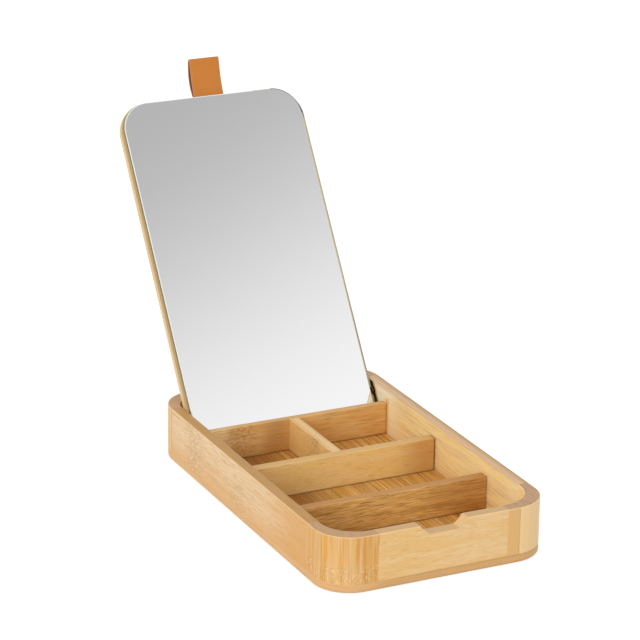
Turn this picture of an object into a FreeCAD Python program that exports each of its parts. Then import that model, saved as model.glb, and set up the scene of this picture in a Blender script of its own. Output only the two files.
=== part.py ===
import FreeCAD, Part
import math
import os

# Jewellery tray of laminated bamboo with a tilting lid that carries a mirror.
# Millimetres. X to the right, Y from the front to the back, Z up.
# The origin is the middle of the tray's underside.
# The lid is drawn shut and is then turned about its pivot to the open rest position.
# The tray's back corners are hollowed to a smaller radius, so that the leaning lid clears them.

# Tray
box_width = 140.0
box_length = 240.0
box_height = 33.5
side_wall = 7.0
end_wall = 7.2
base_thickness = 5.0
outer_corner_radius = 22.0
front_inner_radius = 20.5
back_inner_radius = 16.0
front_block_reach = 29.5
back_block_reach = 22.5
rim_round = 0.6
base_edge_round = 1.4

# Dividers and the well that the lid's tail swings in
divider_thickness = 6.3
back_divider_thickness = 4.3
divider_end_gap = 0.5
divider_round = 0.4
well_length = 36.8

# Notch in the front wall for the tab
notch_depth = 5.6
notch_flat = 14.8
notch_radius = 6.5
notch_side_angle = 52.0

# Lid
panel_thickness = 5.5
glass_thickness = 2.0
lid_below_rim = 0.5
lid_on_divider_clearance = 0.2
lid_side_gap = 1.1
lid_end_gap = 1.5
panel_corner_radius = 20.0
panel_tail_radius = 15.0
panel_edge_round = 2.0
glass_side_border = 1.8
glass_end_border = 0.4
glass_corner_radius = 18.0
glass_tail_radius = 13.0
glass_edge_bevel = 0.3
tail_length = 21.65
tail_floor_clearance = 0.45
tail_stop_clearance = 0.3

# Double-sided tape under the mirror
tape_width = 15.0
tape_length = 180.0
tape_thickness = 0.4
tape_spacing = 40.0
tape_count = 3

# Pivot plates, pins and bushes
pivot_below_panel = 0.2
pin_radius = 1.25
pin_running_clearance = 0.05
pin_end_gap = 0.4
bush_length = 5.0
bush_wall = 1.0
plate_thickness = 1.0
plate_eye_radius = 2.1
plate_leaf_front = 6.2
plate_leaf_back = 2.1
plate_edge_land = 0.6
plate_pocket_clearance = 0.1
screw_shank_radius = 0.7
screw_head_radius = 1.2
screw_length = 9.0
screw_from_pivot = 4.2

# Leather tab
tab_width = 20.0
tab_reach = 26.0
tab_offset = 0.4
strap_thickness = 1.3
tab_slot_width = 22.0
tab_slot_offset = 1.2
tab_slot_depth = 12.0
tab_slot_skin = 1.6
tab_slot_clearance = 0.1
tab_fold_radius = 1.9
tab_bulge = 4.6
tab_bulge_share = 0.55
tab_split = 3.0

# Edges are told apart by where they lie, to within this length
edge_tolerance = 1e-6

# Places that follow from the sizes
floor_z = base_thickness
inner_width = box_width - 2 * side_wall
inner_length = box_length - 2 * end_wall
front_inner_y = -inner_length / 2
back_inner_y = inner_length / 2
back_divider_back_y = back_inner_y - well_length
back_divider_front_y = back_divider_back_y - back_divider_thickness
compartment_length = (back_divider_front_y - front_inner_y - 2 * divider_thickness) / 3
front_divider_y = front_inner_y + compartment_length
middle_divider_y = front_divider_y + divider_thickness + compartment_length
middle_divider_back_y = middle_divider_y + divider_thickness

panel_top_z = box_height - lid_below_rim
panel_under_z = panel_top_z - panel_thickness
glass_under_z = panel_under_z - glass_thickness
divider_top_z = glass_under_z - lid_on_divider_clearance
lid_width = inner_width - 2 * lid_side_gap
lid_length = inner_length - 2 * lid_end_gap
lid_front_y = front_inner_y + lid_end_gap
lid_back_y = back_inner_y - lid_end_gap

pivot_y = lid_back_y - tail_length
pivot_z = panel_under_z - pivot_below_panel
tail_sweep_radius = pivot_z - floor_z - tail_floor_clearance

# The open lid leans back until the mirror's tail edge meets the back divider.
stop_y = back_divider_back_y + tail_stop_clearance
glass_tail = tail_length - glass_end_border
glass_below_pivot = pivot_z - glass_under_z
stop_arm = math.hypot(glass_tail, glass_below_pivot)
lean_angle = math.degrees(
    math.asin((pivot_y - stop_y) / stop_arm) - math.atan2(glass_below_pivot, glass_tail)
)
opening_angle = 90.0 + lean_angle

SIDES = (("left", -1), ("right", 1))


def vector(x, y, z):
    return FreeCAD.Vector(x, y, z)


def block(x0, x1, y0, y1, z0, z1):
    """Plain rectangular block between two corners."""
    return Part.makeBox(x1 - x0, y1 - y0, z1 - z0, vector(x0, y0, z0))


def rounded_plate(width, length, front_radius, back_radius, z0, z1, middle_y=0.0):
    """Flat plate with four rounded corners, centred on X."""
    plate = block(-width / 2, width / 2, middle_y - length / 2, middle_y + length / 2, z0, z1)
    for radius, end in ((front_radius, -1), (back_radius, 1)):
        upright = [edge for edge in plate.Edges
                   if abs(edge.BoundBox.ZLength - (z1 - z0)) < edge_tolerance
                   and abs(edge.BoundBox.YMin - middle_y - end * length / 2) < edge_tolerance
                   and edge.BoundBox.YLength < edge_tolerance]
        plate = plate.makeFillet(radius, upright)
    return plate


def edges_at_height(shape, z):
    return [edge for edge in shape.Edges
            if abs(edge.BoundBox.ZMin - z) < edge_tolerance
            and abs(edge.BoundBox.ZMax - z) < edge_tolerance]


def rod(radius, x0, x1, y, z):
    """Round bar along X between two stations, whichever is the larger."""
    start = min(x0, x1)
    return Part.makeCylinder(radius, abs(x1 - x0), vector(start, y, z), vector(1, 0, 0))


def side_block(side, near_x, far_x, y0, y1, z0, z1):
    """Block given by its distances from the middle plane, on the left or the right side."""
    low, high = sorted((side * near_x, side * far_x))
    return block(low, high, y0, y1, z0, z1)


def opened(shape):
    """The shut lid's piece, turned about the pivot axis to the open position."""
    turned = shape.copy()
    turned.rotate(vector(0, pivot_y, pivot_z), vector(1, 0, 0), -opening_angle)
    return turned


def extruded_outline(edges, x0, x1):
    """Closed outline in the YZ plane at x0, extruded to x1."""
    face = Part.Face(Part.Wire(edges))
    return face.extrude(vector(x1 - x0, 0, 0))


# Tray: base, four walls and four corner blocks

def make_base_board():
    board = rounded_plate(
        box_width, box_length, outer_corner_radius, outer_corner_radius, 0.0, base_thickness
    )
    return board.makeFillet(base_edge_round, edges_at_height(board, 0.0))


def make_notch_tool():
    """Block with a flat bottom, two round corners and two sloping sides, open at the top."""
    angle = math.radians(notch_side_angle)
    bottom_z = box_height - notch_depth
    flat = notch_flat / 2
    centre_z = bottom_z + notch_radius
    half_turn = angle / 2
    arc_middle = (flat + notch_radius * math.sin(half_turn), centre_z - notch_radius * math.cos(half_turn))
    arc_end = (flat + notch_radius * math.sin(angle), centre_z - notch_radius * math.cos(angle))
    above_z = box_height + notch_depth
    top_x = arc_end[0] + (above_z - arc_end[1]) / math.tan(angle)
    y = -box_length / 2 - end_wall

    def at(point, side):
        return vector(side * point[0], y, point[1])

    flat_end = (flat, bottom_z)
    top = (top_x, above_z)
    edges = [
        Part.LineSegment(at(top, -1), at(arc_end, -1)).toShape(),
        Part.Arc(at(arc_end, -1), at(arc_middle, -1), at(flat_end, -1)).toShape(),
        Part.LineSegment(at(flat_end, -1), at(flat_end, 1)).toShape(),
        Part.Arc(at(flat_end, 1), at(arc_middle, 1), at(arc_end, 1)).toShape(),
        Part.LineSegment(at(arc_end, 1), at(top, 1)).toShape(),
        Part.LineSegment(at(top, 1), at(top, -1)).toShape(),
    ]
    return Part.Face(Part.Wire(edges)).extrude(vector(0, 3 * end_wall, 0))


def make_wall_ring():
    """All the walls in one piece, with the notch and the bush bores, before it is parted."""
    outside = rounded_plate(
        box_width, box_length, outer_corner_radius, outer_corner_radius, floor_z, box_height
    )
    inside = rounded_plate(
        inner_width, inner_length, front_inner_radius, back_inner_radius, floor_z, box_height
    )
    ring = outside.cut(inside)
    ring = ring.makeFillet(rim_round, edges_at_height(ring, box_height))
    ring = ring.cut(make_notch_tool())
    for _, side in SIDES:
        wall_face = side * inner_width / 2
        bore_radius = pin_radius + pin_running_clearance + bush_wall
        ring = ring.cut(rod(bore_radius, wall_face, wall_face + side * bush_length, pivot_y, pivot_z))
    return ring


def part_walls(ring):
    """The ring parted at the corner blocks' seams."""
    front_seam_x = box_width / 2 - front_block_reach
    front_seam_y = front_block_reach - box_length / 2
    back_seam_x = box_width / 2 - back_block_reach
    back_seam_y = box_length / 2 - back_block_reach
    far_x = box_width
    far_y = box_length
    regions = {
        "left_wall": (-far_x, 0, front_seam_y, back_seam_y),
        "right_wall": (0, far_x, front_seam_y, back_seam_y),
        "front_wall": (-front_seam_x, front_seam_x, -far_y, front_seam_y),
        "back_wall": (-back_seam_x, back_seam_x, back_seam_y, far_y),
        "corner_block_front_left": (-far_x, -front_seam_x, -far_y, front_seam_y),
        "corner_block_front_right": (front_seam_x, far_x, -far_y, front_seam_y),
        "corner_block_back_left": (-far_x, -back_seam_x, back_seam_y, far_y),
        "corner_block_back_right": (back_seam_x, far_x, back_seam_y, far_y),
    }
    return {name: ring.common(block(*region, floor_z, box_height)) for name, region in regions.items()}


# Dividers

def make_divider(x0, x1, y0, y1):
    """Board standing on the floor, with its top edges rubbed round."""
    board = block(x0, x1, y0, y1, floor_z, divider_top_z)
    return board.makeFillet(divider_round, edges_at_height(board, divider_top_z))


def make_cross_divider(front_y, thickness):
    half = inner_width / 2 - divider_end_gap
    return make_divider(-half, half, front_y, front_y + thickness)


def make_short_divider():
    half = divider_thickness / 2
    return make_divider(-half, half, middle_divider_back_y, back_divider_front_y)


# Lid: bamboo panel, mirror, tape and tab

def plate_top_z():
    """The plates stay below the round on the panel's upper edge."""
    return panel_top_z - panel_edge_round


def plate_outline(side, growth, near_x, far_x):
    """Leaf in the panel's edge joined to a round eye about the pivot, grown all round."""
    leaf = side_block(
        side, near_x, far_x,
        pivot_y - plate_leaf_front - growth, pivot_y + plate_leaf_back + growth,
        panel_under_z + plate_edge_land - growth, plate_top_z() + growth,
    )
    eye = rod(plate_eye_radius + growth, side * near_x, side * far_x, pivot_y, pivot_z)
    return leaf.fuse(eye).removeSplitter()


def tape_places():
    middle = (tape_count - 1) / 2
    return [(number - middle) * tape_spacing for number in range(tape_count)]


def tape_strip(x):
    middle_y = (lid_front_y + lid_back_y) / 2
    return block(
        x - tape_width / 2, x + tape_width / 2,
        middle_y - tape_length / 2, middle_y + tape_length / 2,
        panel_under_z, panel_under_z + tape_thickness,
    )


def tab_slot():
    """Slot in the panel's free end, wider than the strap, that takes both its legs."""
    low_z = panel_under_z + tab_slot_skin
    return block(
        tab_slot_offset - tab_slot_width / 2, tab_slot_offset + tab_slot_width / 2,
        lid_front_y - tab_slot_depth, lid_front_y + tab_slot_depth,
        low_z - tab_slot_clearance / 2, low_z + 2 * strap_thickness + tab_slot_clearance / 2,
    )


def tail_trimmer():
    """Everything ahead of the pivot, and the round that the tail sweeps behind it."""
    half = box_width / 2
    ahead = block(-half, half, -box_length, pivot_y, 0.0, 2 * box_height)
    sweep = rod(tail_sweep_radius, -half, half, pivot_y, pivot_z)
    return ahead.fuse(sweep)


def make_lid_panel():
    middle_y = (lid_front_y + lid_back_y) / 2
    panel = rounded_plate(
        lid_width, lid_length, panel_corner_radius, panel_tail_radius,
        panel_under_z, panel_top_z, middle_y,
    )
    panel = panel.makeFillet(panel_edge_round, edges_at_height(panel, panel_top_z))
    panel = panel.common(tail_trimmer())
    panel = panel.cut(tab_slot())
    for x in tape_places():
        panel = panel.cut(tape_strip(x))
    outer_x = lid_width / 2
    for _, side in SIDES:
        pocket = plate_outline(side, plate_pocket_clearance, outer_x - plate_thickness, box_width)
        panel = panel.cut(pocket)
        panel = panel.cut(screw_shank(side))
    return panel


def make_mirror_glass():
    middle_y = (lid_front_y + lid_back_y) / 2
    glass = rounded_plate(
        lid_width - 2 * glass_side_border, lid_length - 2 * glass_end_border,
        glass_corner_radius, glass_tail_radius, glass_under_z, panel_under_z, middle_y,
    )
    return glass.makeChamfer(glass_edge_bevel, edges_at_height(glass, glass_under_z))


def make_mirror_tape():
    return Part.makeCompound([tape_strip(x) for x in tape_places()])


def make_leather_tab():
    """Strap folded into a loop: flat on the mirror's side, bulging on the other side."""
    low_z = panel_under_z + tab_slot_skin
    x0 = tab_offset - tab_width / 2
    x1 = tab_offset + tab_width / 2

    def at(reach, height):
        return vector(x0, lid_front_y - reach, low_z + height)

    fold_start = tab_reach - tab_fold_radius
    fold_top = 2 * tab_fold_radius
    legs = 2 * strap_thickness
    bulge_reach = tab_bulge_share * fold_start
    outer = [
        Part.LineSegment(at(-tab_slot_depth, 0), at(fold_start, 0)).toShape(),
        Part.Arc(at(fold_start, 0), at(tab_reach, tab_fold_radius), at(fold_start, fold_top)).toShape(),
        Part.Arc(at(fold_start, fold_top), at(bulge_reach, tab_bulge), at(0, legs)).toShape(),
        Part.LineSegment(at(0, legs), at(-tab_slot_depth, legs)).toShape(),
        Part.LineSegment(at(-tab_slot_depth, legs), at(-tab_slot_depth, 0)).toShape(),
    ]
    inner_top = fold_top - strap_thickness
    inner_reach = tab_reach - strap_thickness
    inner_bulge = tab_bulge - strap_thickness
    split = at(tab_split, strap_thickness)
    inner = [
        Part.LineSegment(split, at(fold_start, strap_thickness)).toShape(),
        Part.Arc(at(fold_start, strap_thickness), at(inner_reach, tab_fold_radius),
                 at(fold_start, inner_top)).toShape(),
        Part.Arc(at(fold_start, inner_top), at(bulge_reach, inner_bulge), split).toShape(),
    ]
    return extruded_outline(outer, x0, x1).cut(extruded_outline(inner, x0, x1))


# Pivot: plates on the lid, pins in the plates, bushes in the walls

def make_pivot_plate(side):
    outer_x = lid_width / 2
    plate = plate_outline(side, 0.0, outer_x - plate_thickness, outer_x)
    plate = plate.cut(rod(pin_radius, side * (outer_x - plate_thickness), side * outer_x, pivot_y, pivot_z))
    return plate.cut(screw_body(side))


def screw_place():
    """Y and Z of the screws' line, in the middle of the plates' leaves."""
    return (pivot_y - screw_from_pivot, (panel_under_z + plate_edge_land + plate_top_z()) / 2)


def screw_shank(side):
    outer_x = lid_width / 2
    return rod(screw_shank_radius, side * (outer_x - screw_length), side * outer_x, *screw_place())


def screw_body(side):
    """Countersunk screw driven into the panel's edge, its head flush with the plate."""
    head = Part.makeCone(
        screw_head_radius, screw_shank_radius, plate_thickness,
        vector(side * lid_width / 2, *screw_place()), vector(-side, 0, 0),
    )
    return screw_shank(side).fuse(head).removeSplitter()


def make_plate_screws():
    return Part.makeCompound([screw_body(side) for _, side in SIDES])


def make_pivot_pin(side):
    inner_end = side * (lid_width / 2 - plate_thickness)
    outer_end = side * (inner_width / 2 + bush_length - pin_end_gap)
    return rod(pin_radius, inner_end, outer_end, pivot_y, pivot_z)


def make_pivot_bush(side):
    inner_end = side * inner_width / 2
    outer_end = inner_end + side * bush_length
    bore_radius = pin_radius + pin_running_clearance
    sleeve = rod(bore_radius + bush_wall, inner_end, outer_end, pivot_y, pivot_z)
    return sleeve.cut(rod(bore_radius, inner_end, outer_end, pivot_y, pivot_z))


def build():
    """Every sub-part by name, in the open rest position."""
    parts = {"base_board": make_base_board()}
    parts.update(part_walls(make_wall_ring()))
    parts["front_divider"] = make_cross_divider(front_divider_y, divider_thickness)
    parts["middle_divider"] = make_cross_divider(middle_divider_y, divider_thickness)
    parts["back_divider"] = make_cross_divider(back_divider_front_y, back_divider_thickness)
    parts["short_divider"] = make_short_divider()
    lid = {
        "lid_panel": make_lid_panel(),
        "mirror_glass": make_mirror_glass(),
        "mirror_tape": make_mirror_tape(),
        "leather_tab": make_leather_tab(),
        "pivot_plate_screws": make_plate_screws(),
    }
    for name, side in SIDES:
        lid[name + "_pivot_plate"] = make_pivot_plate(side)
        lid[name + "_pivot_pin"] = make_pivot_pin(side)
        parts[name + "_pivot_bush"] = make_pivot_bush(side)
    parts.update({name: opened(shape) for name, shape in lid.items()})
    return parts


os.makedirs("parts", exist_ok=True)
print("pivot y %.4f z %.4f opening angle %.4f" % (pivot_y, pivot_z, opening_angle))
for part_name, part_shape in build().items():
    if not part_shape.isValid():
        raise ValueError("bad solid: " + part_name)
    print("%-26s solids %d volume %.1f" % (part_name, len(part_shape.Solids), part_shape.Volume))
    part_shape.exportStep("parts/" + part_name + ".step")
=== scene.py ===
import math

import bpy
import numpy as np
from mathutils import Matrix, Vector


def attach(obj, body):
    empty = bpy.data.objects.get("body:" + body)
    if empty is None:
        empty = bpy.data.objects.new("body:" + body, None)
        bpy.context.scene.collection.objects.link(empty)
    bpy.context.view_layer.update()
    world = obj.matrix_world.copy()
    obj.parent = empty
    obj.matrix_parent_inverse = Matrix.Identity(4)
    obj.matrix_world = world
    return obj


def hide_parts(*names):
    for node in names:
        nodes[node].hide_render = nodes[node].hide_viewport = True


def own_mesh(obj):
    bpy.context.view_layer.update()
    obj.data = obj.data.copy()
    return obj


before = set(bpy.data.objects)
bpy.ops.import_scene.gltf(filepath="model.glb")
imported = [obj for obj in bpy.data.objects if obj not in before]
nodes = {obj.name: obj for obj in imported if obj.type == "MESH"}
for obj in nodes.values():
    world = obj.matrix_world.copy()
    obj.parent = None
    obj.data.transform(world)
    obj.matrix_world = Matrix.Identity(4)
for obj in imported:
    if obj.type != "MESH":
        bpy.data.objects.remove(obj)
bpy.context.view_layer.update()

# Lengths in this script are millimetres, and are turned to metres where they meet the scene.
MM = 0.001

# The tray: the top of its base board, its side walls' inner faces, the seams of its corner blocks,
# the paler strip's edge on the right block, and the front faces of its three cross dividers
BASE_TOP = 5.0
INNER_X = 63.0
BLOCK_SEAM_X = 40.5
BLOCK_STRIP_X = 48.3
BACK_SEAM_Y = 97.5
DIVIDER_FRONTS = (-55.5, 8.1, 71.7)

# The lid's own directions while it stands open, and its size
LID_LEAN = math.radians(33.9134)
PIVOT = np.array([0.0, 89.65, 27.3])
UP_THE_LID = np.array([0.0, math.sin(LID_LEAN), math.cos(LID_LEAN)])
THROUGH_THE_LID = np.array([0.0, math.cos(LID_LEAN), -math.sin(LID_LEAN)])
GLASS_FACE = -1.8
LID_END = 200.95
GLASS_HALF_WIDTH = 60.1
GLASS_LENGTH = 221.8
GLASS_END = 200.55
GLASS_CORNER = 18.0
GLASS_TAIL_CORNER = 13.0

# The tab: where its front leg lies, measured from the glass face, and how it is folded
TAB_WIDTH = 20.0
STRAP = 1.3
STRAP_EDGE_ROUND = 0.4
TAB_FRONT = 3.6
TAB_REACH = 26.0
TAB_ROOT = 12.0
TAB_ROOT_X = 2.0
TAB_TOP_X = 4.8
FOLD_RADIUS = 1.9

# Sockets that share a name go by number: 0 and 1 on Math and VectorMath; 0 for the value, 1 and 2
# for the range it comes from and 3 and 4 for the one it goes to on MapRange; 0 for the share and
# 6 and 7 for the colours on Mix. These are the settings that come with most of them.
SMOOTH = {"interpolation_type": "SMOOTHSTEP"}
COLOURS = {"data_type": "RGBA", "out": 2}


def linear(hex_colour):
    """sRGB hex colour as linear light, with full opacity."""
    values = [int(hex_colour[i:i + 2], 16) / 255 for i in (0, 2, 4)]
    light = [v / 12.92 if v <= 0.04045 else ((v + 0.055) / 1.055) ** 2.4 for v in values]
    return (*light, 1.0)


def add(tree, kind, inputs=None, out=0, **settings):
    """Adds a shader node, sets it up, links or sets its inputs, and gives one output, if any."""
    node = tree.nodes.new("ShaderNode" + kind)
    for name, value in settings.items():
        setattr(node, name, value)
    for name, value in (inputs or {}).items():
        if isinstance(value, bpy.types.NodeSocket):
            tree.links.new(value, node.inputs[name])
        else:
            node.inputs[name].default_value = value
    return node.outputs[out] if node.outputs else None


def new_material(name):
    material = bpy.data.materials.new(name)
    material.use_nodes = True
    material.node_tree.nodes.clear()
    return material, material.node_tree


def dress(material, *names):
    """The material takes the place of the plain one on these solids."""
    for name in names:
        mesh = nodes[name].data
        mesh.materials.clear()
        mesh.materials.append(material)


def window(tree, value, low, high, soft):
    """1 between low and high, falling smoothly to 0 over a width of soft on both sides."""
    half = soft / 2
    rise = add(tree, "MapRange", {0: value, 1: low - half, 2: low + half}, **SMOOTH)
    fall = add(tree, "MapRange", {0: value, 1: high - half, 2: high + half, 3: 1.0, 4: 0.0},
               **SMOOTH)
    return add(tree, "Math", {0: rise, 1: fall}, operation="MULTIPLY")


def layer(tone, share, size=None, low=0.4, high=0.6, where=None, facing=None, seed=0.0):
    """One colour laid over the wood, at most by its share.

    Size is its blotches' length along the grain and their two widths, cut off between the noise
    levels low and high. Where gives windows as low, high and soft edge on each axis. Facing gives a
    direction and the cosines at which the layer starts and is full.
    """
    return {"tone": tone, "share": share, "size": size, "low": low, "high": high,
            "where": where or {}, "facing": facing, "seed": seed}


def bamboo(name, grain, body, layers, tilted=False):
    """Laminated bamboo: a body colour under layers of fibre, mottling, knuckles and cut faces.

    The grain runs along axis X, Y or Z, which is measured in the lid's own directions where tilted.
    Each layer is noise stretched along the grain, cut off between two levels, inside its windows on
    X, Y, Z, on LID, the distance behind the pivot through the standing lid, and on UP_LID, that
    along it. The lid's directions are those of its open rest position.
    """
    material, tree = new_material(name)
    place = add(tree, "TexCoord", out="Object")
    normal = add(tree, "TexCoord", out="Normal")
    place = add(tree, "VectorMath", {0: place, 3: 1 / MM}, operation="SCALE")
    axes = {}
    if tilted or any("LID" in item["where"] for item in layers):
        turn = (LID_LEAN, 0.0, 0.0)
        in_lid = add(tree, "VectorMath", {0: place, 1: tuple(PIVOT)}, operation="SUBTRACT")
        in_lid = add(tree, "Mapping", {"Vector": in_lid, "Rotation": turn})
        split = add(tree, "SeparateXYZ", {0: in_lid}).node.outputs
        axes.update(LID=split[1], UP_LID=split[2])
    if tilted:
        place = in_lid
        normal = add(tree, "Mapping", {"Vector": normal, "Rotation": turn}, vector_type="NORMAL")
    split = add(tree, "SeparateXYZ", {0: place}).node.outputs
    axes.update(X=split[0], Y=split[1], Z=split[2])
    first = "XYZ".index(grain)
    along = add(tree, "CombineXYZ", {i: split[(first + i) % 3] for i in range(3)})

    colour = linear(body)
    for item in layers:
        masks = []
        if item["size"]:
            spot = add(tree, "VectorMath", {0: along, 1: item["size"]}, operation="DIVIDE")
            spot = add(tree, "VectorMath", {0: spot, 1: (item["seed"],) * 3}, operation="ADD")
            noise = add(tree, "TexNoise", {"Vector": spot, "Scale": 1.0, "Detail": 3.0})
            cut = {0: noise, 1: item["low"], 2: item["high"]}
            masks.append(add(tree, "MapRange", cut, **SMOOTH))
        for axis, (low, high, soft) in item["where"].items():
            masks.append(window(tree, axes[axis], low, high, soft))
        if item["facing"]:
            direction, low, high = item["facing"]
            turned = add(tree, "VectorMath", {0: normal, 1: direction},
                         operation="DOT_PRODUCT", out="Value")
            masks.append(add(tree, "MapRange", {0: turned, 1: low, 2: high}, **SMOOTH))
        share = item["share"]
        for mask in masks:
            share = add(tree, "Math", {0: mask, 1: share}, operation="MULTIPLY")
        colour = add(tree, "Mix", {0: share, 6: colour, 7: linear(item["tone"])}, **COLOURS)

    # Fibres stand about 0.01 mm proud where the lacquer sank in, and their gloss differs a little.
    # They are drawn 12 mm long and 0.6 mm wide.
    fine = add(tree, "VectorMath", {0: along, 1: (12.0, 0.6, 0.6)}, operation="DIVIDE")
    fibre = add(tree, "TexNoise", {"Vector": fine, "Scale": 1.0, "Detail": 2.0})
    bump = add(tree, "Bump", {"Height": fibre, "Strength": 0.6, "Distance": 0.02 * MM})
    gloss = add(tree, "MapRange", {0: fibre, 3: 0.42, 4: 0.58})
    wood = add(tree, "BsdfPrincipled", {
        "Base Color": colour, "Roughness": gloss, "Normal": bump,
        "Coat Weight": 0.12, "Coat Roughness": 0.35,
    })
    add(tree, "OutputMaterial", {"Surface": wood})
    return material


# Which way a face looks, with the cosines between which a layer on it sets in: the top faces, the
# rounds at the rim, the base board's upright edge, the lid's front and left edge, and the right
# slant of the notch
UP = ((0.0, 0.0, 1.0), 0.86, 0.98)
RIM_ROUNDS = ((0.0, 0.0, 1.0), 0.1, 0.45)
EDGEWISE = ((0.0, 0.0, 1.0), 0.7, 0.2)
FRONT = ((0.0, -1.0, 0.0), 0.7, 0.95)
LEFT_SIDE = ((-1.0, 0.0, 0.0), 0.3, 0.8)
NOTCH_SLANT = ((-0.788, 0.0, 0.616), 0.66, 0.98)


def knuckle(axis, low, high, dark, pale, share, seed, **limits):
    """The culm's joint: a band across the grain, clouded darker and speckled by fibre ends."""
    where = {axis: (low, high, (high - low) / 2), **limits}
    return [
        layer(dark, share * 0.4, (14.0, 7.0, 7.0), 0.35, 0.6, where=where, seed=seed),
        layer(dark, share, (1.4, 0.7, 0.7), 0.5, 0.6, where=where, seed=seed + 0.3),
        layer(pale, share, (1.5, 0.7, 0.7), 0.52, 0.62, where=where, seed=seed + 0.6),
    ]


# Bamboo boards, planed and lacquered with a satin finish. The eye sees pale straw colour, soft
# mottling, fine dashes along the grain where the fibre bundles are cut, and speckled bands at the
# culm's knuckles. Fibre bundles are about 0.3 mm wide, and are drawn 0.35 to 0.9 mm wide so that
# they show. Mottling is 4 to 10 mm wide, as on real strips.
wall_layers = [
    layer("EDCCA0", 0.5, (40.0, 9.0, 9.0), 0.42, 0.62, seed=1.0),
    layer("D9A35C", 0.4, (70.0, 5.0, 5.0), 0.5, 0.66, seed=7.0),
    layer("BE843C", 0.55, (9.0, 0.42, 0.42), 0.53, 0.64, seed=3.0),
    layer("F8E0B8", 0.5, (9.0, 0.42, 0.42), 0.54, 0.66, seed=3.5),
]
rim_streaks = layer("A87A48", 0.5, (20.0, 0.8, 0.8), 0.5, 0.64, facing=UP, seed=16.0)

# Ambered towards the front and the foot, with two knuckles, a painted highlight on the rounded
# edges, a thin seam where the back block starts, and a streaked rim painted browner as painted
# shade
left_wall_wood = bamboo("side_wall_bamboo", "Y", "EBC796", wall_layers + [
    layer("DC9C40", 0.7, where={"Y": (-130.0, -52.0, 60.0)}),
    layer("DFA353", 0.5, where={"Z": (0.0, 13.0, 10.0)}),
    *knuckle("Y", 53.0, 73.0, "BF8A46", "F6DEB4", 0.55, 11.0),
    *knuckle("Y", -6.0, 10.0, "BF8A46", "F6DEB4", 0.6, 13.0, Z=(0.0, 22.0, 10.0)),
    # Painted highlight on the rounded edges
    layer("EFCF9A", 0.5, facing=RIM_ROUNDS),
    layer("B08048", 0.5, where={"Y": (BACK_SEAM_Y - 0.8, BACK_SEAM_Y + 0.5, 0.3)}),
    # Painted shade on the top face, which is also streaked
    layer("BA8636", 0.9, facing=UP), rim_streaks,
])

# The inner face is painted paler than the outer one as painted light, palest beside the lid and at
# the front. A painted amber glow lies by the back divider's end, and a browner band and a
# near-black band of painted shadow lie on the wall where the lid's edge stands close to it.
INSIDE = (INNER_X - 3.0, INNER_X + 3.0, 1.0)
right_wall_wood = bamboo("side_wall_bamboo_pale", "Y", "E8BF86", [
    # Painted light: the inner face paler than the outer one
    layer("FFE3A0", 1.0, where={"X": INSIDE}),
    layer("EDCCA0", 0.5, (40.0, 9.0, 9.0), 0.42, 0.62, seed=1.0),
    layer("D9A35C", 0.25, (70.0, 5.0, 5.0), 0.5, 0.66, seed=7.0),
    layer("C48C48", 0.4, (26.0, 0.5, 0.5), 0.53, 0.64, seed=17.5),
    # Painted light: palest beside the lid and at the front
    layer("FFF2CC", 0.9, where={"X": INSIDE, "Y": (62.0, 104.0, 30.0)}),
    layer("FFEFC0", 0.6, where={"X": INSIDE, "Y": (-120.0, -84.0, 24.0)}),
    layer("C98F48", 0.4, (60.0, 0.6, 0.6), 0.56, 0.66, seed=17.0),
    # Painted amber glow by the back divider's end
    layer("F4B43C", 0.75, where={"X": INSIDE, "Y": (69.6, 74.0, 2.4), "Z": (4.0, 28.0, 2.0)}),
    # Painted shadow where the lid's edge stands close to the wall: a browner band, then a
    # near-black one
    layer("D2A052", 0.8, where={"X": INSIDE, "LID": (-3.2, -1.0, 0.6), "Z": (4.0, 32.4, 1.0)}),
    layer("2E1404", 0.97, where={"X": INSIDE, "LID": (-1.4, 3.0, 0.5), "Z": (4.0, 32.6, 0.8)}),
    # Painted highlight on the outer round of the rim and painted shade on its inner round; the
    # rim's top is painted darker as painted shade and streaked, paler along its inner band and
    # darker at its outer edge as painted light and shade
    layer("EFCF9A", 0.5, where={"X": (66.0, 72.0, 1.0)}, facing=RIM_ROUNDS),
    layer("C4945C", 0.6, where={"X": (61.0, 64.0, 1.0)}, facing=RIM_ROUNDS),
    layer("C89C5C", 0.9, facing=UP), rim_streaks,
    layer("DBB290", 0.75, where={"X": (62.0, 66.6, 2.0)}, facing=UP),
    layer("8E7862", 0.7, where={"X": (68.8, 71.0, 1.4)}, facing=UP),
])

# The front wall: the notch's right slant catches the light, and a short dark glue line shows at the
# left seam's top
BASE_SEAM = {"Z": (BASE_TOP, BASE_TOP + 0.35, 0.3), "X": (-30.0, 80.0, 40.0)}
seam_lines = [layer("A8753C", 0.4, where=BASE_SEAM)]
LEFT_SEAM = {"X": (-BLOCK_SEAM_X - 0.4, -BLOCK_SEAM_X + 0.2, 0.3),
             "Y": (-130.0, 0.0, 1.0), "Z": (27.8, 33.2, 1.0)}
end_wall_wood = bamboo("end_wall_bamboo", "X", "ECBF7B", [
    layer("F1D09C", 0.5, (45.0, 6.0, 6.0), 0.42, 0.62, seed=2.0),
    layer("CF9A55", 0.5, (7.0, 0.35, 0.35), 0.53, 0.66, seed=5.0),
    layer("F7DDB0", 0.4, (9.0, 0.4, 0.4), 0.54, 0.68, seed=5.5),
    # Painted highlight on the rounded edges and painted shade on the top face
    layer("F2D5A4", 0.5, facing=RIM_ROUNDS),
    layer("C99E64", 0.9, facing=UP),
    layer("E0B678", 0.9, facing=NOTCH_SLANT),
    layer("8A5A28", 0.85, where=LEFT_SEAM),
] + seam_lines)
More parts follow.
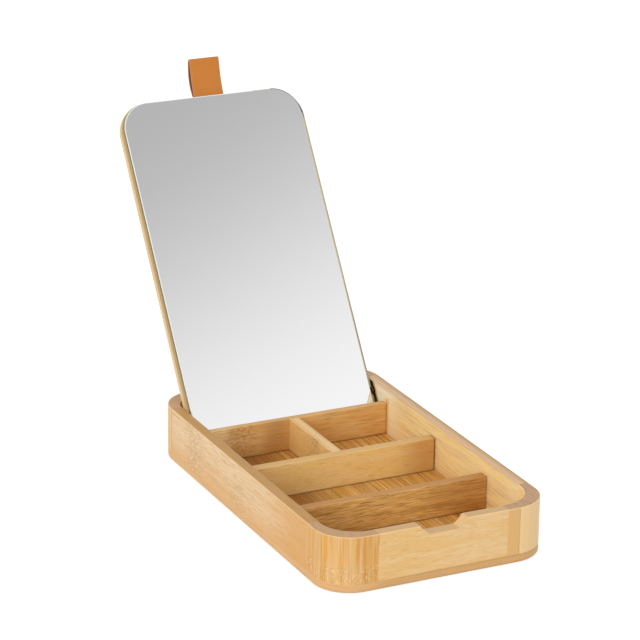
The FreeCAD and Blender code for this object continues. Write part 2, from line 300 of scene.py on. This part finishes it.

# Corner blocks: the left one streaked and with a knuckle at its foot, the right one glued up from
# a browner strip and a paler piece, the others plain. Their cut tops are streaked and painted
# browner as painted shade, and their rounded edges carry a painted highlight. The right one's faces
# inside the tray are painted paler as painted light.
block_mottling = layer("EFCB94", 0.5, (60.0, 5.0, 5.0), 0.42, 0.62, seed=4.0)
block_fibres = layer("C0883E", 0.5, (40.0, 0.6, 0.6), 0.52, 0.66, seed=8.0)
# Painted highlight on the rounded edges and painted shade on the cut top, with streaks on the top
# and the line at the base seam
block_tops_shade_and_marks = [
    layer("F2D5A4", 0.5, facing=RIM_ROUNDS),
    layer("B68A60", 0.9, facing=UP),
    layer("94704E", 0.45, (60.0, 0.9, 5.0), 0.5, 0.62, facing=UP, seed=18.0),
] + seam_lines
corner_wood = bamboo(
    "corner_block_bamboo", "Z", "E8BC80",
    [block_mottling, block_fibres, *block_tops_shade_and_marks, layer("C69C68", 0.6, facing=UP)])
corner_wood_left = bamboo("corner_block_bamboo_streaked", "Z", "E2A650", [
    layer("CB8838", 0.36, (50.0, 2.4, 2.4), 0.5, 0.66, seed=6.0),
    *knuckle("Z", 5.0, 16.0, "C4843A", "F8DCA8", 0.65, 15.0),
    block_mottling, block_fibres, *block_tops_shade_and_marks,
    layer("C69A66", 0.45, facing=UP),
])
corner_wood_right = bamboo("corner_block_bamboo_laminated", "Z", "F7CF94", [
    block_mottling,
    layer("E1B06A", 0.85, where={"X": (BLOCK_SEAM_X - 0.5, BLOCK_STRIP_X, 0.4)}),
    layer("C08A48", 0.5, where={"X": (BLOCK_STRIP_X - 0.4, BLOCK_STRIP_X, 0.3)}),
    # Painted light: the block's faces inside the tray are paler
    layer("FFE0A0", 0.9, where={"X": (30.0, INNER_X + 0.5, 1.0), "Y": (-113.5, -80.0, 1.0)}),
    *block_tops_shade_and_marks,
])

# The base board: strongly fibred, with painted shadow darkening it to the left, its upright edge
# painted paler than its floor as painted light, a line under the walls, and a painted shadow line
# in the corner along each cross divider's foot
base_wood = bamboo("base_board_bamboo", "Y", "D69C42", [
    layer("7C420C", 0.85, (90.0, 4.0, 0.42), 0.5, 0.6, seed=9.0),
    layer("F6CE8C", 0.8, (70.0, 4.0, 0.5), 0.52, 0.62, seed=10.0),
    layer("A86C2C", 0.3, (90.0, 4.0, 3.0), 0.5, 0.62, seed=10.5),
    # Painted shadow: the floor darker to the left, where the left wall shades it
    layer("804200", 0.68, where={"X": (-70.0, -16.0, 30.0)}),
    # Painted light: the upright edge paler than the floor, palest on the left
    layer("DCAD70", 0.95, facing=EDGEWISE),
    layer("E8B87C", 0.7, where={"X": (-80.0, -40.0, 16.0)}, facing=EDGEWISE),
    layer("C0874A", 0.3, (30.0, 0.7, 30.0), 0.5, 0.62, facing=EDGEWISE, seed=19.0),
    layer("B27C40", 0.5, facing=EDGEWISE,
          where={"Z": (BASE_TOP - 0.45, BASE_TOP - 0.05, 0.3), "X": (-30.0, 80.0, 40.0)}),
] + [
    # Painted shadow lines in the corner along each cross divider's foot
    layer("74400C", 0.65, where={"X": (-INNER_X + 0.1, INNER_X - 0.1, 0.1),
                                 "Y": (front - 0.7, front + 0.5, 0.5)})
    for front in DIVIDER_FRONTS
])

# Dividers: each has a painted shadow line at its foot, the middle one also at its right end, and a
# top face painted darker as painted shade (the short one's greyer). The front one is the brownest
# and the most strongly fibred, it and the middle one darken to the right, partly their own tone and
# partly painted shade, the front one is painted darker at its left end as painted shade, the back
# one paler there as painted light, and the back and the short one have a knuckle.
# Painted shadow lines: along each divider's foot, and at the middle divider's right end by the wall
foot_shadow_line = layer("6E3A08", 0.6, where={"Z": (BASE_TOP - 1.0, BASE_TOP + 0.5, 0.5)})
end_shadow_line = layer("743C08", 0.75, where={"X": (INNER_X - 1.1, INNER_X + 1.0, 0.5)})
divider_wood = bamboo("divider_bamboo", "X", "EFC97E", [
    layer("F4D398", 0.5, (45.0, 7.0, 7.0), 0.42, 0.62, seed=21.0),
    layer("C08844", 0.45, (8.0, 0.35, 0.35), 0.53, 0.66, seed=22.0),
    # Darker towards the right end: partly the wood's own tone, partly painted shade in the corner
    layer("B26C16", 0.55, where={"X": (44.0, 80.0, 26.0)}),
    layer("D6A964", 0.9, facing=UP), foot_shadow_line, end_shadow_line,
])
front_divider_wood = bamboo("front_divider_bamboo", "X", "E2B166", [
    layer("85500F", 0.75, (12.0, 0.36, 0.36), 0.5, 0.6, seed=23.0),
    layer("F8D690", 0.65, (10.0, 0.36, 0.36), 0.52, 0.62, seed=24.0),
    layer("9C6420", 0.4, (60.0, 4.0, 4.0), 0.5, 0.66, seed=24.5),
    # Darker towards the right end: partly the wood's own tone, partly painted shade in the corner
    layer("9C5E1E", 0.5, where={"X": (30.0, 90.0, 40.0)}),
    # Painted shade at the left end, by the left wall
    layer("9C5E1E", 0.2, where={"X": (-90.0, -54.0, 12.0)}),
    layer("BC7F2A", 0.9, facing=UP), foot_shadow_line,
])
back_divider_wood = bamboo("back_divider_bamboo", "X", "E4B36A", [
    layer("F0CC92", 0.5, (45.0, 7.0, 7.0), 0.42, 0.62, seed=25.0),
    # Painted light: paler at the left end
    layer("FFE2A4", 0.95, where={"X": (-80.0, -42.0, 12.0)}),
    layer("A06422", 0.5, where={"X": (-20.0, -3.0, 16.0)}),
    layer("C98A3C", 0.2, where={"X": (3.0, 70.0, 1.0)}),
    layer("AE7028", 0.5, (14.0, 0.45, 0.45), 0.52, 0.64, seed=26.0),
    *knuckle("X", -44.0, -26.0, "9A6424", "F0D29A", 0.5, 27.0),
    layer("D0A566", 0.7, facing=UP), foot_shadow_line,
])
short_divider_wood = bamboo("short_divider_bamboo", "Y", "EFC57A", [
    layer("F4CE90", 0.5, (45.0, 7.0, 7.0), 0.42, 0.62, seed=31.0),
    layer("C08844", 0.45, (8.0, 0.35, 0.35), 0.53, 0.66, seed=32.0),
    *knuckle("Y", 31.0, 47.0, "B07A34", "F8DCA6", 0.7, 33.0),
    layer("DDB276", 0.7, facing=UP),
    layer("EBC88E", 0.8, where={"X": (-1.2, 1.4, 0.4)}, facing=UP), foot_shadow_line,
])

# The lid panel: its border round the mirror is painted greyer on the right, greyest at the foot and
# at the top corner, and browner on the left, all as painted shade. Its left edge is darker just
# behind the mirror.
TO_THE_RIGHT = (0.0, 80.0, 1.0)
panel_wood = bamboo("lid_panel_bamboo", "Z", "EAC894", [
    layer("F3DAB2", 0.5, (60.0, 10.0, 10.0), 0.42, 0.62, seed=41.0),
    layer("C99A5C", 0.4, (20.0, 0.5, 0.5), 0.56, 0.7, seed=42.0),
    layer("CFC39C", 0.9, where={"X": TO_THE_RIGHT}, facing=FRONT),
    layer("C8AA74", 0.9, where={"X": (-80.0, 0.0, 1.0)}, facing=FRONT),
    layer("9A9A84", 0.6, where={"UP_LID": (-30.0, 60.0, 60.0), "X": TO_THE_RIGHT}, facing=FRONT),
    layer("4C5048", 0.9, where={"UP_LID": (181.0, 220.0, 6.0), "X": (0.0, 80.0, 30.0)},
          facing=FRONT),
    layer("E0BA84", 0.6, where={"LID": (-1.0, 2.0, 1.6)}, facing=LEFT_SIDE),
], tilted=True)

dress(left_wall_wood, "left_wall")
dress(right_wall_wood, "right_wall")
dress(end_wall_wood, "front_wall", "back_wall")
dress(corner_wood_left, "corner_block_front_left")
dress(corner_wood_right, "corner_block_front_right")
dress(corner_wood, "corner_block_back_left", "corner_block_back_right")
dress(base_wood, "base_board")
dress(divider_wood, "middle_divider")
dress(front_divider_wood, "front_divider")
dress(back_divider_wood, "back_divider")
dress(short_divider_wood, "short_divider")
dress(panel_wood, "lid_panel")


def make_mirror_material():
    """Silvered float glass, its edge ground and bevelled.

    The eye sees a clear reflection, a fine line of light on the ground bevel, painted pale as a
    painted highlight, and dark grey-green where it looks into the glass at its edge.
    """
    material, tree = new_material("silvered_float_glass")
    place = add(tree, "TexCoord", out="Object")
    normal = add(tree, "TexCoord", out="Normal")
    centre = (PIVOT + UP_THE_LID * (GLASS_END - GLASS_LENGTH / 2)) * MM
    place = add(tree, "VectorMath", {0: place, 1: tuple(centre)}, operation="SUBTRACT")
    up = add(tree, "VectorMath", {0: place, 1: tuple(UP_THE_LID)},
             operation="DOT_PRODUCT", out="Value")
    across = add(tree, "VectorMath", {0: place, 1: (1.0, 0.0, 0.0)},
                 operation="DOT_PRODUCT", out="Value")
    # Distance in millimetres from the glass's outline, below zero inside it, near the edge: how far
    # a point lies beyond the middle of its corner's arc, less that arc's radius. The two corners at
    # the tail have their own, smaller radius.
    flat = add(tree, "CombineXYZ", {0: across, 1: up})
    flat = add(tree, "VectorMath", {0: flat}, operation="ABSOLUTE")
    upper = add(tree, "Math", {0: up, 1: 0.0}, operation="GREATER_THAN")
    corner = add(tree, "MapRange", {0: upper, 3: GLASS_TAIL_CORNER * MM, 4: GLASS_CORNER * MM})
    inner = add(tree, "CombineXYZ", {0: corner, 1: corner})
    half = (GLASS_HALF_WIDTH * MM, GLASS_LENGTH / 2 * MM, 0.0)
    inner = add(tree, "VectorMath", {0: half, 1: inner}, operation="SUBTRACT")
    beyond = add(tree, "VectorMath", {0: flat, 1: inner}, operation="SUBTRACT")
    beyond = add(tree, "VectorMath", {0: beyond, 1: (0.0, 0.0, 0.0)}, operation="MAXIMUM")
    beyond = add(tree, "VectorMath", {0: beyond}, operation="LENGTH", out="Value")
    edge = add(tree, "Math", {0: beyond, 1: corner}, operation="SUBTRACT")
    edge = add(tree, "Math", {0: edge, 1: 1 / MM}, operation="MULTIPLY")

    # The silvered face, with patches of haze some 17 mm wide where it was wiped
    haze = add(tree, "TexNoise", {"Vector": place, "Scale": 60.0, "Detail": 3.0})
    gloss = add(tree, "MapRange", {0: haze, 3: 0.0, 4: 0.012})
    silver = add(tree, "BsdfPrincipled", {
        "Base Color": linear("F8F8F8"), "Metallic": 1.0, "Roughness": gloss,
    })

    # The bevel, painted pale as a painted highlight. Grinding marks are finer than 0.1 mm, and are
    # drawn at 0.8 mm so that they show. It is painted paler on the left as painted light, and the
    # corner arc that leans away from the light is painted dark as painted shade.
    grit = add(tree, "TexNoise", {"Vector": place, "Scale": 1 / (0.8 * MM), "Detail": 2.0})
    tone = add(tree, "Mix", {0: grit, 6: linear("E2E2DC"), 7: linear("F4F4F2")}, **COLOURS)
    right = add(tree, "Math", {0: across, 1: GLASS_HALF_WIDTH / 2 * MM}, operation="GREATER_THAN")
    tone = add(tree, "Mix", {0: right, 6: tone, 7: linear("D2C9A8")}, **COLOURS)
    corner_x = (GLASS_HALF_WIDTH - GLASS_CORNER) * MM
    corner_up = (GLASS_LENGTH / 2 - GLASS_CORNER) * MM
    far = add(tree, "Math", {0: across, 1: corner_x}, operation="GREATER_THAN")
    high = add(tree, "Math", {0: up, 1: corner_up}, operation="GREATER_THAN")
    dark = add(tree, "Math", {0: far, 1: high}, operation="MULTIPLY")
    tone = add(tree, "Mix", {0: dark, 6: tone, 7: linear("3C4448")}, **COLOURS)
    bevel = add(tree, "BsdfPrincipled", {"Base Color": tone, "Roughness": 0.35, "IOR": 1.52})

    side_tone = add(tree, "Mix", {0: grit, 6: linear("6F6C58"), 7: linear("8A8670")}, **COLOURS)
    side = add(tree, "BsdfPrincipled", {"Base Color": side_tone, "Roughness": 0.12, "IOR": 1.52})

    # The bevel is 0.3 mm wide, and is drawn at about 0.6 mm so that it shows
    ground = add(tree, "MapRange", {0: edge, 1: -0.7, 2: -0.45}, **SMOOTH)
    facing = add(tree, "VectorMath", {0: normal, 1: tuple(-THROUGH_THE_LID)},
                 operation="DOT_PRODUCT", out="Value")
    front = add(tree, "MapRange", {0: facing, 1: 0.3, 2: 0.6})
    face = add(tree, "MixShader", {0: ground, 1: silver, 2: bevel})
    glass = add(tree, "MixShader", {0: front, 1: side, 2: face})
    add(tree, "OutputMaterial", {"Surface": glass})
    return material


def make_leather_material():
    """Vegetable-tanned leather strap, dyed tan and polished.

    The eye sees a smooth warm tan with a fine pebble, a rubbed line near the cut edges, and reddish
    brown on the rough flesh side.
    """
    material, tree = new_material("tan_leather")
    place = add(tree, "TexCoord", out="Object")
    side = add(tree, "Attribute", attribute_name="grain_side", out="Fac")
    cut = add(tree, "Attribute", attribute_name="cut_edge", out="Fac")
    # Leather's pores are about 0.3 mm apart, and are drawn at 0.7 mm so that they show
    pores = add(tree, "TexVoronoi", {"Vector": place, "Scale": 1 / (0.7 * MM)}, feature="F1")
    cloud = add(tree, "TexNoise", {"Vector": place, "Scale": 1 / (9 * MM), "Detail": 4.0})
    tone = add(tree, "Mix", {0: cloud, 6: linear("C4731F"), 7: linear("CD7F24")}, **COLOURS)
    tone = add(tree, "Mix", {0: side, 6: linear("8A4A34"), 7: tone}, **COLOURS)
    tone = add(tree, "Mix", {0: cut, 6: tone, 7: linear("B9825C")}, **COLOURS)
    bump = add(tree, "Bump", {"Height": pores, "Strength": 0.35, "Distance": 0.05 * MM})
    rough = add(tree, "MapRange", {0: side, 3: 0.85, 4: 0.5})
    leather = add(tree, "BsdfPrincipled", {
        "Base Color": tone, "Roughness": rough, "Normal": bump,
        "Sheen Weight": 0.1, "Sheen Roughness": 0.4,
    })
    add(tree, "OutputMaterial", {"Surface": leather})
    return material


def make_metal(name, dark, pale, roughness, brush):
    """Metal turned or brushed around the pivot axis. The eye sees fine lines across the light.

    Brush gives the lines per millimetre along each axis.
    """
    material, tree = new_material(name)
    place = add(tree, "TexCoord", out="Object")
    lines = add(tree, "VectorMath", {0: place, 1: brush}, operation="MULTIPLY")
    noise = add(tree, "TexNoise", {"Vector": lines, "Scale": 1 / MM, "Detail": 2.0})
    colour = add(tree, "Mix", {0: noise, 6: linear(dark), 7: linear(pale)}, **COLOURS)
    gloss = add(tree, "MapRange", {0: noise, 3: roughness - 0.06, 4: roughness + 0.06})
    bump = add(tree, "Bump", {"Height": noise, "Strength": 0.2, "Distance": 0.01 * MM})
    metal = add(tree, "BsdfPrincipled", {
        "Base Color": colour, "Metallic": 1.0, "Roughness": gloss, "Normal": bump,
    })
    add(tree, "OutputMaterial", {"Surface": metal})
    return material


def make_tape_material():
    """Double-sided acrylic foam tape, extruded. The eye sees white, matte, finely porous foam."""
    material, tree = new_material("acrylic_foam_tape")
    place = add(tree, "TexCoord", out="Object")
    # Foam cells are about 0.2 mm across, and are drawn at 0.4 mm
    cells = add(tree, "TexVoronoi", {"Vector": place, "Scale": 1 / (0.4 * MM)})
    colour = add(tree, "Mix", {0: cells, 6: linear("EDEDE8"), 7: linear("D8D8D2")}, **COLOURS)
    bump = add(tree, "Bump", {"Height": cells, "Strength": 0.4, "Distance": 0.05 * MM})
    foam = add(tree, "BsdfPrincipled", {"Base Color": colour, "Roughness": 0.8, "Normal": bump})
    add(tree, "OutputMaterial", {"Surface": foam})
    return material


dress(make_mirror_material(), "mirror_glass")
dress(make_tape_material(), "mirror_tape")
# The pivot steel is coloured dark brown as painted shade, so that it reads as the shade in the slot
# beside the lid
steel = make_metal("shade_brown_steel", "5E4024", "6E4C2C", 0.45, (6.0, 0.2, 6.0))
brass = make_metal("turned_brass", "C8A050", "D8B468", 0.3, (6.0, 1.0, 1.0))
dress(steel, "left_pivot_plate", "right_pivot_plate", "left_pivot_pin", "right_pivot_pin",
      "pivot_plate_screws")
dress(brass, "left_pivot_bush", "right_pivot_bush")


def strap_path():
    """Middle line of the folded strap, as reach beyond the lid's end and depth from the glass face.

    It runs straight up the front leg, round half a circle, and back down a cubic curve that swells
    away from the front leg and meets it again at the lid.
    """
    inner = FOLD_RADIUS - STRAP / 2
    front = TAB_FRONT + STRAP / 2
    back = front + STRAP + 0.02
    top = TAB_REACH - FOLD_RADIUS
    up = np.linspace(-TAB_ROOT, top, 40, endpoint=False)
    front_leg = np.stack([up, np.full_like(up, front)], 1)
    turn = np.linspace(0.0, math.pi, 16, endpoint=False)
    fold = np.stack([top + inner * np.sin(turn), front + inner - inner * np.cos(turn)], 1)
    # The cubic curve's four control points, from the fold down to the lid
    a, b, c, d = np.array([[top, front + 2 * inner], [14.5, 9.4], [7.0, 8.5], [0.0, back]])
    t = np.linspace(0.0, 1.0, 40)[:, None]
    swell = (1 - t) ** 3 * a + 3 * (1 - t) ** 2 * t * b + 3 * (1 - t) * t ** 2 * c + t ** 3 * d
    down = np.linspace(-1.0, -TAB_ROOT, 12)
    back_leg = np.stack([down, np.full_like(down, back)], 1)
    return np.concatenate([front_leg, fold, swell, back_leg])


def strap_section():
    """Outline of the cut strap, as places across and through it.

    It is a rectangle whose four corners are quarter circles, with its two wide sides divided evenly
    between them.
    """
    half_width = TAB_WIDTH / 2 - STRAP_EDGE_ROUND
    half_thickness = STRAP / 2 - STRAP_EDGE_ROUND
    angles = np.linspace(0.0, math.pi / 2, 5)
    share = np.linspace(0.0, 1.0, 12)[1:-1, None]
    outline = []
    for number, (w, t) in enumerate(((1, 1), (-1, 1), (-1, -1), (1, -1))):
        turned = angles + number * math.pi / 2
        arc = np.stack([w * half_width + STRAP_EDGE_ROUND * np.cos(turned),
                        t * half_thickness + STRAP_EDGE_ROUND * np.sin(turned)], 1)
        outline.append(arc)
        # After the first and the third corner comes a wide side
        if w == t:
            start = arc[-1]
            outline.append(start + share * (start * (-1.0, 1.0) - start))
    return np.concatenate(outline)


def make_strap_loop():
    """The section carried along the path, its width across the lid, its thickness off the path.

    The loop leans to the right by the power 1.5 of the share of its reach.
    """
    path = strap_path()
    section = strap_section()
    tangent = np.gradient(path, axis=0)
    tangent /= np.linalg.norm(tangent, axis=1)[:, None]
    # The outer, polished side is on the path's left: towards the mirror on the front leg
    outward = np.stack([tangent[:, 1], -tangent[:, 0]], 1)
    count, ring = len(path), len(section)
    across = section[None, :, 0].repeat(count, 0)
    through = section[None, :, 1].repeat(count, 0)
    flat = path[:, None, :] + outward[:, None, :] * through[:, :, None]
    lean = (flat[:, :, 0].clip(0.0) / TAB_REACH) ** 1.5
    x = across + TAB_ROOT_X + (TAB_TOP_X - TAB_ROOT_X) * lean
    reach = flat[:, :, 0] + LID_END
    depth = flat[:, :, 1] + GLASS_FACE
    points = (PIVOT + x[:, :, None] * np.array([1.0, 0.0, 0.0]) + reach[:, :, None] * UP_THE_LID
              + depth[:, :, None] * THROUGH_THE_LID).reshape(-1, 3) * MM
    i, j = np.meshgrid(np.arange(count - 1), np.arange(ring), indexing="ij")
    k = (j + 1) % ring
    faces = np.stack([i * ring + j, (i + 1) * ring + j, (i + 1) * ring + k, i * ring + k], -1)
    caps = [list(range(ring)), list(range((count - 1) * ring, count * ring))[::-1]]
    mesh = bpy.data.meshes.new("leather_loop")
    mesh.from_pydata(points.tolist(), [], faces.reshape(-1, 4).tolist() + caps)
    # 1 on the polished side and 0 on the flesh side; and 1 within 0.05 mm of the cut edges,
    # fading to 0 over the next 0.3 mm
    grain_side = np.clip(0.5 + through.ravel() / (STRAP - 2 * STRAP_EDGE_ROUND), 0, 1)
    cut_edge = np.clip((np.abs(across.ravel()) - TAB_WIDTH / 2 + 0.35) / 0.3, 0, 1)
    for label, values in (("grain_side", grain_side), ("cut_edge", cut_edge)):
        attribute = mesh.attributes.new(label, "FLOAT", "POINT")
        attribute.data.foreach_set("value", values.astype(np.float32))
    mesh.polygons.foreach_set("use_smooth", np.ones(len(mesh.polygons), bool))
    mesh.materials.append(make_leather_material())
    mesh.update()
    loop = bpy.data.objects.new("leather_loop", mesh)
    bpy.context.scene.collection.objects.link(loop)
    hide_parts("leather_tab")
    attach(loop, "lid")
    return loop


leather_loop = make_strap_loop()
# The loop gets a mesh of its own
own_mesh(leather_loop)


def make_floor():
    """Sheet of white background paper, a square 12 m wide and 0.2 mm under the tray.

    It looks white to the camera and keeps a soft contact shadow.
    """
    half, drop = 6.0, 0.0002
    corners = np.array([[-1, -1, 0], [1, -1, 0], [1, 1, 0], [-1, 1, 0]]) * half
    corners[:, 2] = -drop
    mesh = bpy.data.meshes.new("floor")
    mesh.from_pydata(corners.tolist(), [], [(0, 1, 2, 3)])
    floor = bpy.data.objects.new("floor", mesh)
    bpy.context.scene.collection.objects.link(floor)
    material, tree = new_material("white_paper")
    place = add(tree, "TexCoord", out="Object")
    # Paper fibres are too fine to show, and their clouding is drawn 2.5 mm wide
    fibre = add(tree, "TexNoise", {"Vector": place, "Scale": 400.0, "Detail": 3.0})
    colour = add(tree, "Mix", {0: fibre, 6: linear("CECECE"), 7: linear("D4D4D4")}, **COLOURS)
    paper = add(tree, "BsdfDiffuse", {"Color": colour})
    ray = add(tree, "LightPath").node.outputs
    # The glow brings the lit paper up to white for the camera, and to the cove's level in a mirror
    seen = add(tree, "Math", {0: ray["Is Camera Ray"], 1: ray["Is Transmission Ray"]},
               operation="ADD", use_clamp=True)
    strength = add(tree, "Math", {0: seen, 1: 0.6}, operation="MULTIPLY")
    strength = add(tree, "Math", {0: ray["Is Glossy Ray"], 1: 0.4, 2: strength},
                   operation="MULTIPLY_ADD")
    glow = add(tree, "Emission", {"Color": (1.0, 1.0, 1.0, 1.0), "Strength": strength})
    both = add(tree, "AddShader", {0: paper, 1: glow})
    add(tree, "OutputMaterial", {"Surface": both})
    mesh.materials.append(material)


def make_world():
    """Studio: a white cove, a grey band above it, and white again overhead.

    The level depends only on how steeply a ray rises, as the sine of its angle over the floor.
    The camera sees plain white.
    """
    cove, band, overhead = 0.97, 0.49, 1.04
    world = bpy.data.worlds.new("studio")
    bpy.context.scene.world = world
    world.use_nodes = True
    tree = world.node_tree
    tree.nodes.clear()
    direction = add(tree, "TexCoord", out="Generated")
    rise = add(tree, "SeparateXYZ", {0: direction}, out=2)
    falling = add(tree, "MapRange", {0: rise, 1: 0.624, 2: 0.722, 3: cove, 4: band}, **SMOOTH)
    rising = add(tree, "MapRange", {0: rise, 1: 0.76, 2: 0.92, 3: 0.0, 4: overhead - band},
                 **SMOOTH)
    level = add(tree, "Math", {0: falling, 1: rising}, operation="ADD")
    seen = add(tree, "LightPath", out="Is Camera Ray")
    colour = add(tree, "Mix", {0: seen, 6: level, 7: (1.0, 1.0, 1.0, 1.0)}, **COLOURS)
    background = add(tree, "Background", {"Color": colour, "Strength": 1.0})
    add(tree, "OutputWorld", {"Surface": background})


def make_lamp(name, place, aim, size, power):
    """Square soft box at a place in metres, turned to the aim point.

    The mirror doesn't show it: there it shows the even studio.
    """
    data = bpy.data.lights.new(name, "AREA")
    data.shape = "SQUARE"
    data.size = size
    data.energy = power
    lamp = bpy.data.objects.new(name, data)
    lamp.location = place
    lamp.rotation_euler = (Vector(aim) - Vector(place)).to_track_quat("-Z", "Y").to_euler()
    lamp.visible_glossy = False
    bpy.context.scene.collection.objects.link(lamp)


def make_camera(place, right, forward, lens):
    """Camera at the photograph's viewing angle, given by its place in metres and two directions."""
    data = bpy.data.cameras.new("camera")
    data.sensor_width = 36.0
    data.lens = lens
    data.clip_start = 0.05
    camera = bpy.data.objects.new("camera", data)
    right, forward = Vector(right), Vector(forward)
    turn = Matrix((right, right.cross(forward), -forward)).transposed().to_4x4()
    camera.matrix_world = Matrix.Translation(place) @ turn
    bpy.context.scene.collection.objects.link(camera)
    bpy.context.scene.camera = camera


make_floor()
make_world()
make_lamp("key", place=(-1.9, -1.5, 0.95), aim=(0.0, 0.0, 0.02), size=1.0, power=19.0)
make_camera(place=(-0.73778, -1.45492, 0.69968), right=(0.89867, -0.43840, 0.01368),
            forward=(0.41664, 0.84349, -0.33903), lens=169.4)
bpy.context.scene.view_settings.view_transform = "Standard"
